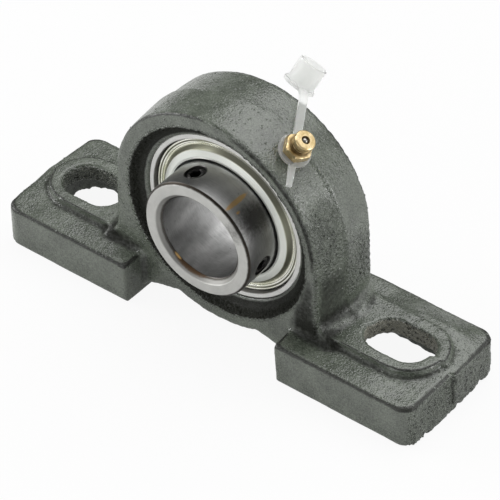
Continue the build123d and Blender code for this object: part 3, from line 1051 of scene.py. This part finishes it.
    def mismatch(self, at: Places, base: float) -> Array:
        """How far the front half of the mould sits off the rear half, towards -X.

        Args:
            at: The points.
            base: Height of the base.

        Returns:
            The shift of each point in millimetres.
        """
        front = 1 / (1 + np.exp(np.clip(at.y / (self.seam_width / 4), -40, 40)))
        reach = ramp(at.x, -52, -40) * ramp(at.z, base, base + 10) * (0.55 + 0.45 * ramp(at.x, 50, 60))
        return self.seam_shift * front * reach * ramp(at.radius, 30.5, 32.5)

    def with_painted_shade(self, at: Places, hollow: Array, foot_of_head: Array) -> Array:
        """Adds painted shade to the hollows: darkened zones in the lower recess, the seat recess, the pedestal's right
        flank, the head's front rim, the seam at the right foot's end, the front corners by the feet and the crease at
        the foot of the head.

        Args:
            at: The points.
            hollow: How far each point lies in a hollow.
            foot_of_head: Share of each point in the crease where the head meets a foot.

        Returns:
            The hollows with the painted shade added.
        """
        x, y, z, radius = at.x, at.y, at.z, at.radius
        deep = np.abs(y)
        low_cone = ramp(z, -6, -14) * (radius < 29.8) * (deep > 8.4)
        recess = ramp(deep, 8.6, 9.2) * ramp(radius, 25.3, 25.7) * (radius < 29.6)
        flank = ramp(x, 24, 27) * ramp(x, 36, 33) * ramp(z, 3, -7) * ramp(y, 5, -1) * ramp(z, -22.0, -20.5)
        brink = bell((at.head_side() - 32.7) / 1.2, (y + 11.6) / 1.3) * ramp(z, -4, 4)
        brink = brink * np.maximum(ramp(x, -8, 12), 0.1)
        seam = bell((y + 0.45) / 0.5) * ramp(x, 66, 68)
        corner = bell((np.abs(x) - 37.5) / 2.6, (y + 12.5) / 2.6, (z + 21.0) / 2.0)
        crease = 0.22 * foot_of_head * (z > -23.5)
        return hollow + crease + 0.4 * low_cone + 0.9 * recess + 0.44 * flank + 0.8 * brink + 0.45 * seam + 0.9 * corner

    def worn_end(self, at: Places, points: Array) -> tuple[Array, Array]:
        """Chips along the lower edge of the right foot, and the pad's run-out behind its slot.

        Args:
            at: The points' places.
            points: The moved points.

        Returns:
            How far each point moves, and how far the pad's step fades there.
        """
        chip = ramp(at.x, 60, 66) * ramp(at.z, -33.6, -36.0)
        chip *= np.clip(0.1 + 1.5 * self.field(points, 2.4, 3, 63), 0, 1.3) * self.chips
        fade = ramp(at.x, 38, 50) * ramp(at.x, 68.5, 60.5) * ramp(at.y, -1.0, 1.5) * ramp(at.y, 18.3, 12.3)
        fade *= (at.z > -24.2) * (at.z < self.pad_top) * (at.off_slot() > 6.6)
        rise = 0.95 * fade * (self.pad_top - 0.1 - at.z)
        return np.stack((-0.5 * chip, 0 * chip, chip + rise), 1), fade

    def flash(self, points: Array) -> Array:
        """Ragged metal that narrows the mouth of the hollow under each foot.

        Args:
            points: Points in millimetres.

        Returns:
            How far each point moves.
        """
        x, y, z = points.T
        dx = np.abs(x) - np.clip(np.abs(x), 38.0, 59.0)
        dy = y - np.clip(y, -6.4, 6.4)
        off = np.hypot(dx, dy)
        rim = bell(off - 8.0) * ramp(z, -33.8, -35.8) * (off > 1)
        push = rim * self.ragged * np.clip(0.45 + 1.3 * self.field(points * (1, 1, 0), 2.2, 3, 51), 0, 1.6)
        away = np.stack((np.sign(x) * dx, dy, 0 * z), 1) / np.maximum(off, 1e-6)[:, None]
        return -away * push[:, None]

    @staticmethod
    def nib_zones(at: Places) -> Array:
        """Where sand and paint nibs lie.

        Args:
            at: The points.

        Returns:
            Share of the full nib density at each point, from 0 to 1.
        """
        feet = (at.z < -20) & (np.abs(at.x) > 40) & (at.up > 0.8) & (at.off_slot() > 7.6)
        pads = feet & (at.z > -22)
        nipple = np.hypot(np.hypot(at.x - 19.2, at.z - 28.4), at.y + 2.6)
        upper = (at.radius > 30) & (at.z > -16) & (at.up > -0.4) & (nipple > 8)
        return np.select((pads, feet, upper), (0.45, 1.0, 0.10), 0.0)

    @staticmethod
    def coarse_zones(at: Places) -> Array:
        """How crusty the sand left each place.

        Args:
            at: The points.

        Returns:
            The crustiness of each point, from 0 to 1.
        """
        x, y, z = at.x, at.y, at.z
        recess = bell((at.radius - 29.2) / 1.2) * (np.abs(y) > 9)
        patches = np.maximum(bell((z - 8) / 14, (y + 6) / 7), bell((z + 7) / 13) * ramp(y, -1, 1))
        flank = ramp(x, 24, 30) * (x < 38) * ramp(z, -17, -14) * patches
        rim = bell((at.head_side() - 32.8) / 0.9, (np.abs(y) - 11.5) / 0.8) * np.clip((x + 5) / 20, 0.15, 0.8)
        foot_end = ramp(x, 66.5, 69.0) * ramp(z, -23.9, -24.7)
        slot = bell(at.off_slot() - 6.5) * (z < -21.5)
        skin_deep = np.full(len(x), 0.16)
        return np.clip(np.maximum.reduce((recess, 0.9 * flank, rim, foot_end, 0.8 * slot, skin_deep)), 0, 1)

    @staticmethod
    def field(points: Array, size: float, octaves: int, seed: int) -> Array:
        """Noise around zero at each point, by the size of a wave in millimetres, its octaves and a seed."""
        scaled = points / size + seed * 7.31
        return np.array([noise.fractal(Vector(p), 1.0, 2.0, octaves) for p in scaled])


# ---------------------------------------------------------------- bearing insert


def radial_frame(angle: float, y: float, reach: float) -> Matrix:
    """Local frame square to a radius of the shaft, in millimetres.

    Args:
        angle: Direction of the radius in degrees, from +Z towards +X.
        y: Place along the shaft.
        reach: Distance of its origin from the shaft axis.

    Returns:
        Matrix whose third column points outwards.
    """
    out = Vector((math.sin(math.radians(angle)), 0, math.cos(math.radians(angle))))
    side = Vector((0, 1, 0))
    matrix = Matrix((side, out.cross(side), out)).transposed().to_4x4()
    matrix.translation = out * reach + Vector((0, y, 0))
    return matrix


@dataclass(frozen=True)
class Station:
    """One loop of a barrel: a circle, or a hexagon trimmed by that circle."""

    height: float
    radius: float
    across: float = 0.0
    dull: float = 0.0


def barrel(
    name: str, place: Matrix, stations: Sequence[Station], wrapped: bool, segments: int = 120
) -> Object:
    """Piece with loops along a local axis, each round or hexagonal.

    Args:
        name: Name of the object.
        place: Local frame in millimetres.
        stations: Its loops in order.
        wrapped: True where the last loop meets the first.
        segments: Points in each loop.

    Returns:
        The object, with each loop's dullness on its points.
    """
    angles = np.linspace(0, 2 * math.pi, segments, endpoint=False)
    side = math.pi / 3
    secant = 1 / np.cos(angles % side - side / 2)
    turn, shift = np.array(place.to_3x3()), np.array(place.translation)
    loops = []
    for station in stations:
        reach = np.full(segments, station.radius)
        if station.across:
            reach = np.minimum(reach, station.across / 2 * secant)
        local = np.stack((reach * np.cos(angles), reach * np.sin(angles), np.full(segments, station.height)), -1)
        loops.append(local @ turn.T + shift)
    mesh = skin(np.array(loops), wrapped)
    dull = np.repeat([station.dull for station in stations], segments)
    if len(dull) == len(mesh.vertices):
        note(mesh, "dull", dull)
    return shown(name, mesh)


@dataclass
class InnerRing:
    """Inner ring, wider on the set-screw side, with its ball groove and tapped holes."""

    bore_r: float = 12.5
    outer_r: float = 17.6
    front: float = -19.8
    rear: float = 14.3
    bore_chamfer: float = 1.5
    outer_chamfer: float = 0.7
    groove_r: float = 4.096
    groove_centre: float = 19.617
    groove_steps: int = 25
    edge_r: float = 0.12
    hole_r: float = 3.03
    sink: float = 0.16
    over: float = 0.6

    def end(self, y: float, inwards: int) -> list[Triple]:
        """Corners (radius, shaft position, bend radius) of one end, from the bore outwards. inwards is a sign."""
        return [
            (self.bore_r, y + inwards * self.bore_chamfer, self.edge_r),
            (self.bore_r + self.bore_chamfer, y, self.edge_r),
            (self.outer_r - self.outer_chamfer, y, self.edge_r),
            (self.outer_r, y + inwards * self.outer_chamfer, self.edge_r),
        ]

    def outline(self) -> Array:
        """Section of the ring, as (radius, shaft position) points.

        Returns:
            (radius, height) points of the closed section, in millimetres.
        """
        half = math.sqrt(self.groove_r**2 - (self.groove_centre - self.outer_r) ** 2)
        places = np.linspace(-half, half, self.groove_steps)
        groove = [(self.groove_centre - math.sqrt(self.groove_r**2 - y * y), float(y), 0.0) for y in places]
        return rounded(self.end(self.front, 1) + groove + self.end(self.rear, -1)[::-1])

    def hole(self, angle: float) -> Object:
        """Cutter for one tapped hole with a countersunk mouth.

        Args:
            angle: Its direction in degrees, from +Z towards +X.

        Returns:
            The cutter.
        """
        mouth = Station(self.outer_r + self.over, self.hole_r + self.sink + self.over)
        stations = [Station(self.bore_r - 2, self.hole_r), Station(self.outer_r - self.sink, self.hole_r), mouth]
        return barrel("cutter", radial_frame(angle, SCREW_Y, 0.0), stations, wrapped=False, segments=64)

    def build(self, finish: Material) -> Object:
        """Turns the ring and drills its holes.

        Args:
            finish: Ground steel.

        Returns:
            The ring.
        """
        blank = shown("inner_ring_turned", skin(turned(self.outline()), wrapped=True))
        ring = cut(blank, [self.hole(angle) for angle in SCREW_ANGLES])
        return finished(ring, "inner_ring", finish, ["inner_ring"], edge=24)


@dataclass
class Shield:
    """Spun sheet-steel cover: a dome by its bore, a steep slope, a ridge, a ledge and a curled edge."""

    bore_r: float = 18.25
    sheet: float = 0.5
    crest: float = 8.25
    valley: float = 5.98
    ledge: float = 6.40
    rim_r: float = 23.55

    def path(self) -> list[Triple]:
        """Middle line of the sheet as (radius, distance from the balls, bend radius) corners."""
        return [
            (self.bore_r, self.crest - 0.20, 0.0),
            (18.85, self.crest, 0.4),
            (20.50, self.crest - 0.75, 0.5),
            (21.70, self.valley, 0.35),
            (22.15, self.valley, 0.25),
            (22.50, self.ledge + 0.55, 0.22),
            (22.72, self.ledge, 0.20),
            (23.05, self.ledge, 0.20),
            (23.28, self.ledge + 0.65, 0.22),
            (self.rim_r, self.ledge, 0.0),
        ]

    def outline(self) -> Array:
        """Closed section of the sheet.

        Returns:
            (radius, height) points of the closed section, in millimetres.
        """
        corners = self.path()
        middle = np.array([(r, y) for r, y, _ in corners])
        ahead = np.diff(middle, axis=0)
        ahead /= np.linalg.norm(ahead, axis=1)[:, None]
        side = np.stack((-ahead[:, 1], ahead[:, 0]), 1) * self.sheet / 2
        edges: list[list[Triple]] = [[], []]
        for i, (x, y, bend) in enumerate(corners):
            before, after = side[max(i - 1, 0)], side[min(i, len(side) - 1)]
            mitre = (before + after) / (1 + before @ after / (self.sheet / 2) ** 2)
            cross = float(before[0] * after[1] - before[1] * after[0])
            for sign, edge in zip((1, -1), edges):
                reach = bend - sign * math.copysign(self.sheet / 2, cross) if bend else 0.0
                edge.append((x + sign * mitre[0], y + sign * mitre[1], max(reach, 0.03)))
        return rounded(edges[0] + edges[1][::-1], 7)

    def build(self, side: Side, finish: Material) -> Object:
        """Spins the shield on one side of the balls.

        Args:
            side: Where it sits.
            finish: Plated sheet.

        Returns:
            The shield.
        """
        node = f"{side.name.lower()}_shield"
        shield = shown(f"{node}_spun", skin(turned(self.outline() * (1, side.value), 320), wrapped=True))
        return finished(shield, "insert", finish, [node], edge=40)


@dataclass
class SetScrew:
    """Cup-point socket set screw with a real thread."""

    tip: float = 12.6
    length: float = 4.5
    core_r: float = 2.70
    crest: float = 0.27
    pitch: float = 1.0
    chamfer: float = 0.45
    socket: float = 3.0
    socket_depth: float = 2.2
    cup_r: float = 1.7
    slot: str = "black_steel"
    edge: float = 30.0

    def build(self, number: int, angle: float, finish: Material) -> Object:
        """Makes one screw and its thread.

        Args:
            number: Number of the screw, from 1.
            angle: Its direction in degrees, from +Z towards +X.
            finish: Black steel.

        Returns:
            The screw's body.
        """
        top, floor = self.length, self.length - self.socket_depth
        stations = (
            Station(0.80, 0.03),
            Station(0.0, self.cup_r),
            Station(0.0, self.cup_r + self.chamfer),
            Station(self.chamfer, self.core_r),
            Station(top - self.chamfer, self.core_r),
            Station(top - 0.06, self.core_r - 0.32),
            Station(top, self.core_r - 0.42),
            Station(top, 1.90),
            Station(top - 0.10, 1.76, self.socket + 0.25),
            Station(top - 0.25, 1.74, self.socket),
            Station(floor, 1.74, self.socket),
            Station(floor - 0.35, 0.03),
        )
        place = radial_frame(angle, SCREW_Y, self.tip)
        node, body = f"set_screw_{number}", f"set_screw_{number}_body"
        screw = barrel(f"{node}_turned", place, stations, wrapped=False)
        finished(screw, body, finish, [node], self.edge)
        thread = self.thread(f"{node}_thread", finish)
        thread.data.transform(Matrix.Translation((0, 0, self.chamfer * MM)))
        place.translation *= MM
        thread.data.transform(place)
        finished(thread, body, finish, edge=self.edge)
        return screw

    def thread(self, name: str, finish: Material) -> Object:
        """Winds the thread about the local Z axis, from z = 0.

        Args:
            name: The object's name.
            finish: Black steel.

        Returns:
            The thread as an object.
        """
        make = Pattern("screw_thread")
        height = self.length - 2 * self.chamfer
        inputs = {
            "Resolution": 40,
            "Rotations": make.size("Turns", height / self.pitch),
            "Start Radius": make.size("Radius", self.core_r * MM),
            "End Radius": "Radius",
            "Height": make.size("Height", height * MM),
        }
        path = make.node("GeometryNodeCurveSpiral", inputs).outputs[0]
        inputs = {"Resolution": 4, "Radius": make.size("Crest", self.crest * MM)}
        crest = make.node("GeometryNodeCurvePrimitiveCircle", inputs, mode="RADIUS").outputs[0]
        wound = make.node("GeometryNodeCurveToMesh", {"Curve": path, "Profile Curve": crest, "Fill Caps": True})
        return make.made_on(shown(name, bpy.data.meshes.new("thread")), wound.outputs[0], finish)


@dataclass
class CageRivets:
    """Headed rivets that hold the two halves of the cage together."""

    pitch_r: float = 19.5
    count: int = 9
    shank_r: float = 0.7
    head_r: float = 1.25
    head_height: float = 0.5
    sheet: float = 0.7
    segments: int = 40

    def outline(self) -> Array:
        """Section of a rivet, as (radius, height) points from one head to the other.

        Returns:
            (radius, height) points of the closed section, in millimetres.
        """
        angles = np.linspace(0, 1.5, 7)
        dome = [(self.head_r * math.cos(a), self.sheet + self.head_height * math.sin(a)) for a in angles]
        half = [(self.shank_r, 0.0), (self.shank_r, self.sheet), *dome]
        return np.array([(r, -y) for r, y in reversed(half[1:])] + half)

    def build(self, finish: Material) -> Object:
        """Places one rivet at every web.

        Args:
            finish: Steel of the cage.

        Returns:
            The rivets.
        """
        rivet = shown("cage_rivets_domed", skin(turned(self.outline(), self.segments), wrapped=False))
        make = Pattern("rivet_ring")
        count = make.size("Count", self.count, "NodeSocketInt")
        inputs = {"Vertices": count, "Radius": make.size("Radius", self.pitch_r * MM)}
        webs = make.node("GeometryNodeMeshCircle", inputs).outputs[0]
        turn = math.radians(180 / self.count) - math.pi / 2
        for angles in ((math.pi / 2, 0.0, 0.0), (0.0, turn, 0.0)):
            webs = make.node("GeometryNodeTransform", {"Geometry": webs, "Rotation": angles}).outputs[0]
        inputs = {"Points": webs, "Instance": make.entry.outputs[0]}
        make.made_on(rivet, make.node("GeometryNodeInstanceOnPoints", inputs).outputs[0], finish)
        return finished(rivet, "cage", finish, ["cage_rivets"], edge=40)


# ---------------------------------------------------------------- grease nipple and its cap


@dataclass
class Nipple:
    """Turned brass nipple: threaded shank, hexagon, neck and button head."""

    lean: float = 34.0
    strap_turn: float = 33.5
    reach: float = 34.3
    y: float = -2.6
    across: float = 7.0

    def place(self) -> Matrix:
        """Its local frame in millimetres, +Z along its axis and +X along the cap's strap.

        Returns:
            The frame.
        """
        lean, turn = math.radians(self.lean), math.radians(self.strap_turn)
        out = Vector((math.sin(lean), 0, math.cos(lean)))
        strap = Vector((-math.sin(turn) * math.cos(lean), math.cos(turn), math.sin(turn) * math.sin(lean)))
        matrix = Matrix((strap, out.cross(strap), out)).transposed().to_4x4()
        matrix.translation = out * self.reach + Vector((0, self.y, 0))
        return matrix

    def stations(self) -> list[Station]:
        """Its loops from the inner end outwards and back through the bore.

        Returns:
            The loops in order.
        """
        shank = ((-5.0, 0.6, 0), (-5.0, 2.65, 0), (-4.65, 2.98, 0), (1.05, 2.98, 0.6))
        hexagon = (
            *((1.05, 3.45, 0.8), (1.05, 3.72, 0.5), (1.22, 4.1, 0.2)),
            *((3.08, 4.1, 0), (3.36, 3.72, 0.1), (3.45, 3.40, 0.3)),
        )
        neck = (
            *((3.45, 2.75, 0.9), (3.58, 2.46, 1.0), (3.85, 2.36, 0.8), (4.25, 2.36, 0.8)),
            *((4.42, 2.50, 0.5), (4.85, 2.84, 0.15), (5.00, 2.86, 0.2), (5.10, 2.80, 0.9)),
            *((5.20, 2.66, 1.0), (5.34, 2.66, 1.0), (5.44, 2.86, 0.5)),
        )
        button = ((5.55, 2.90, 0), (6.72, 2.90, 0), (6.94, 2.76, 0), (7.05, 2.55, 0), (7.05, 1.22, 0.1))
        bore = ((7.00, 1.14, 0.9), (6.62, 0.92, 1.0), (6.50, 1.04, 1.0), (-4.5, 1.04, 1.0), (-4.5, 0.6, 1.0))
        parts = ((shank, 0.0), (hexagon, self.across), (neck, 0.0), (button, 0.0), (bore, 0.0))
        return [Station(height, radius, across, dull) for rows, across in parts for height, radius, dull in rows]

    def build(self, finish: Material) -> Object:
        """Turns the nipple from brass in one piece, hollow for its ball and spring."""
        nipple = barrel("nipple_turned", self.place(), self.stations(), wrapped=True)
        return finished(nipple, "housing", finish, ["nipple_body"], edge=26)


@dataclass
class CheckSpring:
    """Coil spring behind the check ball."""

    axis: Triple = (0.559193, 0.0, 0.829038)
    travel: float = 0.8

    def build(self, finish: Material) -> Object:
        """Joins a copy of the coil and mounts it on the housing.

        Args:
            finish: Black steel.

        Returns:
            The spring.
        """
        spring = joined_copy("nipple_spring_coil", "nipple_spring")
        finished(spring, "housing", finish, ["nipple_spring"], edge=60)
        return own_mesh(spring)


@dataclass
class DustCap:
    """Moulded cap on its strap, with the soft edges of a moulding."""

    grid: float = 0.15
    soften: int = 4

    def build(self, finish: Material) -> Object:
        """Rounds a copy of the cap and gives it its milky plastic."""
        cap = softened(joined_copy("nipple_cap_moulded", "nipple_cap"), self.grid, self.soften)
        return finished(cap, "dust_cap", finish, ["nipple_cap"], edge=80)


# ---------------------------------------------------------------- studio


@dataclass(frozen=True)
class Lamp:
    """One square soft lamp, aimed at the object: place and side in metres, power in watts."""

    name: str
    place: Triple
    width: float
    power: float

    def hang(self) -> None:
        """Puts the lamp in the scene."""
        data = bpy.data.lights.new(self.name, "AREA")
        data.size = self.width
        data.energy = self.power
        lamp = shown(self.name, data)
        lamp.location = self.place
        lamp.rotation_mode = "QUATERNION"
        lamp.rotation_quaternion = (-Vector(self.place)).to_track_quat("-Z", "Y")


@dataclass
class Studio:
    """Camera, floor and soft lamps."""

    azimuth: float = 38.641
    elevation: float = 41.551
    roll: float = -1.154
    distance: float = 805.0
    slide: float = 1.90
    lift: float = -12.95
    focal: float = 218.0
    floor_z: float = -36.5
    floor_gap: float = 0.02
    floor_r: float = 6.0
    room: float = 0.25
    whiteness: float = 0.92
    glow: float = 0.25
    lamps: tuple[Lamp, ...] = (
        Lamp("overhead", (-0.05, 0.86, 1.84), 2.1, 30.0),
        Lamp("right", (2.10, 1.24, 0.90), 1.9, 16.0),
        Lamp("left", (-1.10, -0.35, 0.40), 0.7, 8.0),
        Lamp("front", (-0.25, -1.25, 0.35), 0.9, 3.0),
        Lamp("low", (1.25, 0.28, 0.16), 0.5, 3.0),
    )

    def stand_camera(self) -> None:
        """Stands the camera at its angle, aimed past the ball row."""
        a, e, roll = (math.radians(v) for v in (self.azimuth, self.elevation, self.roll))
        back = Vector((math.sin(a) * math.cos(e), -math.cos(a) * math.cos(e), math.sin(e)))
        level = (-back).cross(Vector((0, 0, 1))).normalized()
        above = level.cross(-back)
        right = math.cos(roll) * level + math.sin(roll) * above
        up = math.cos(roll) * above - math.sin(roll) * level
        matrix = Matrix((right, up, back)).transposed().to_4x4()
        matrix.translation = (back * self.distance + right * self.slide + up * self.lift) * MM
        data = bpy.data.cameras.new("camera")
        data.sensor_width = SENSOR
        data.lens = self.focal
        camera = shown("camera", data)
        camera.matrix_world = matrix
        bpy.context.scene.camera = camera

    def lay_floor(self) -> None:
        """Lays a white floor that keeps the object's shadow."""
        mesh = bpy.data.meshes.new("floor")
        work = bmesh.new()
        bmesh.ops.create_circle(work, cap_ends=True, segments=96, radius=self.floor_r)
        bmesh.ops.translate(work, verts=work.verts, vec=(0, 0, (self.floor_z - self.floor_gap) * MM))
        work.to_mesh(mesh)
        work.free()
        make = Recipe("floor_white")
        paper = make.node("ShaderNodeBsdfDiffuse", {"Color": (0.86, 0.86, 0.86)}).outputs[0]
        white = make.node("ShaderNodeEmission", {"Color": (1.0, 1.0, 1.0), "Strength": 1.0}).outputs[0]
        # the floor also glows faintly for all other rays, a painted light that lights the object from below
        share = make.watched(self.glow, self.whiteness)
        both = make.node("ShaderNodeMixShader", {0: share, 1: paper, 2: white})
        make.node("ShaderNodeOutputMaterial", {"Surface": both.outputs[0]})
        mesh.materials.append(make.material)
        shown("floor", mesh)

    def light(self) -> None:
        """Lights the object with a white room and soft lamps."""
        world = bpy.data.worlds.new("room")
        bpy.context.scene.world = world
        world.use_nodes = True
        make = Graph(world.node_tree)
        sky = make.node("ShaderNodeBackground", {"Strength": make.watched(self.room, 1.0)})
        make.node("ShaderNodeOutputWorld", {"Surface": sky.outputs[0]})
        for lamp in self.lamps:
            lamp.hang()
        bpy.context.scene.view_settings.view_transform = "Standard"


def ring_steel() -> GroundSteel:
    """Steel of the inner ring, with a painted dark reflection along its outside, painted shadows round its tapped
    holes, a painted golden glint on its bore chamfer and heat tints.

    Returns:
        The finish.
    """
    # painted_dark_tone: dark colour laid as painted shade and painted dark reflection
    painted_dark_tone, rust = (0.065, 0.062, 0.060), (0.11, 0.062, 0.030)
    # painted shadow round the mouths of the tapped holes
    hole_shadows = tuple(Stain(angle, SCREW_Y, 3.32, 3.32, painted_dark_tone, 0.1, 0.08) for angle in SCREW_ANGLES)
    stains = (
        # painted dark reflection: a dark band on the outside, up and to the right
        Stain(54.0, -12.0, 5.4, 10.5, painted_dark_tone, 0.9),
        Stain(32.9, -14.6, 0.80, 4.8, soft=0.4),
        Stain(40.8, -16.4, 0.45, 0.9),
        Stain(-163.0, -18.7, 7.0, 0.65, rust, 0.7),
        # painted highlight: a small golden glint on the bore chamfer
        Stain(-143.0, -18.5, 1.5, 0.30, soft=0.6),
    )
    return GroundSteel("inner_ring_steel", 12.5, 17.6, stains=stains + hole_shadows)


def main() -> None:
    """Builds the studio and every piece, in order."""
    logging.basicConfig(level=logging.INFO, format="%(message)s")
    studio = Studio()
    studio.stand_camera()
    studio.lay_floor()
    studio.light()
    Casting().build(CastEnamel().paint())
    InnerRing().build(ring_steel().paint())
    # painted light: the outer ring's end is lightened near white to make up for the shade of the recess it sits in
    pale = {"end": (0.97, 0.97, 0.94), "end_gloss": 0.58, "sheen": 0.45, "flare": 0.0, "ends": (-7.5, 7.5)}
    dress(["outer_ring"], GroundSteel("outer_ring_steel", 23.6, 26.6, **pale).paint())
    plating = PlatedSheet().paint()
    for side in Side:
        Shield().build(side, plating)
    dress(["front_seal_rubber", "rear_seal_rubber"], SealRubber().paint())
    black = BlackSteel().paint()
    for number, angle in enumerate(SCREW_ANGLES, 1):
        SetScrew().build(number, angle, black)
    Nipple().build(TurnedBrass().paint())
    DustCap().build(MilkyPlastic().paint())
    dress([f"ball_{i}" for i in range(1, 10)], BrightSteel("ball_steel").paint())
    # painted shade: a darker copy of the ball steel for the check ball in the nipple's mouth
    dress(["nipple_ball"], BrightSteel("check_ball_steel", (0.42, 0.40, 0.36), (0.30, 0.28, 0.25), 0.24).paint())
    pressed = BrightSteel("cage_steel", (0.62, 0.61, 0.58), (0.45, 0.44, 0.42), 0.28, 5.0).paint()
    CageRivets().build(pressed)
    dress(["cage_front", "cage_rear", "front_seal_backing", "rear_seal_backing"], pressed)
    CheckSpring().build(black)


if __name__ == "__main__":
    main()
